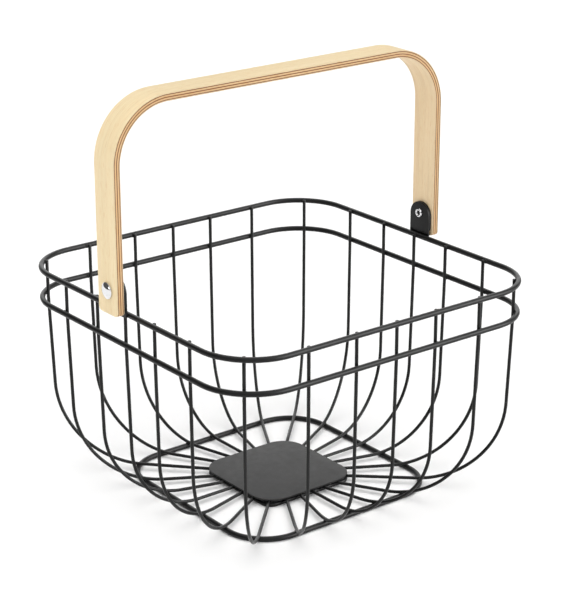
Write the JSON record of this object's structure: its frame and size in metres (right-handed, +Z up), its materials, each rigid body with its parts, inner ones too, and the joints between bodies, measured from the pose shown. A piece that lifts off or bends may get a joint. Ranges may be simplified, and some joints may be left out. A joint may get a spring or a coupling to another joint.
{
  "type": "wire basket",
  "caption": "Square open wire basket with rounded corners, a flat centre plate and a bent plywood carrying handle that folds down on riveted brackets.",
  "frame": {"origin": "middle of the base, on the table the basket stands on", "axes": "+Z up; X along the handle's hinge line; the basket is square in plan"},
  "size_m": [0.2752, 0.2538, 0.2915],
  "materials": {
    "black_coat": "satin black powder coat",
    "spacer": "matte black",
    "rivet": "polished bright plating",
    "birch": "clear matte lacquer on pale birch",
    "glue_line": "dark glue layer on the cut edge"
  },
  "bodies": {
    "basket": {"rim_ring": "black_coat", "lower_rim_ring": "black_coat", "base_ring": "black_coat", "hub_ring": "black_coat", "centre_plate": "black_coat", "rib_000": "black_coat", "rib_015": "black_coat", "rib_030": "black_coat", "rib_045": "black_coat", "rib_060": "black_coat", "rib_075": "black_coat", "rib_090": "black_coat", "rib_105": "black_coat", "rib_120": "black_coat", "rib_135": "black_coat", "rib_150": "black_coat", "rib_165": "black_coat", "rib_180": "black_coat", "rib_195": "black_coat", "rib_210": "black_coat", "rib_225": "black_coat", "rib_240": "black_coat", "rib_255": "black_coat", "rib_270": "black_coat", "rib_285": "black_coat", "rib_300": "black_coat", "rib_315": "black_coat", "rib_330": "black_coat", "rib_345": "black_coat", "bracket_left": "black_coat", "bracket_right": "black_coat", "spacer_left": "spacer", "spacer_right": "spacer", "rivet_left": "rivet", "rivet_right": "rivet"},
    "handle": {"handle_face_inner": "birch", "handle_glue_inner": "glue_line", "handle_ply_inner": "birch", "handle_glue_middle": "glue_line", "handle_ply_outer": "birch", "handle_glue_outer": "glue_line", "handle_face_outer": "birch"}
  },
  "joints": [
    {"name": "handle_fold", "type": "hinge", "parent": "basket", "child": "handle", "pos_m": [0, 0, 0.1685], "axis": [1, 0, 0], "range_deg": [-91, 91]}
  ]
}
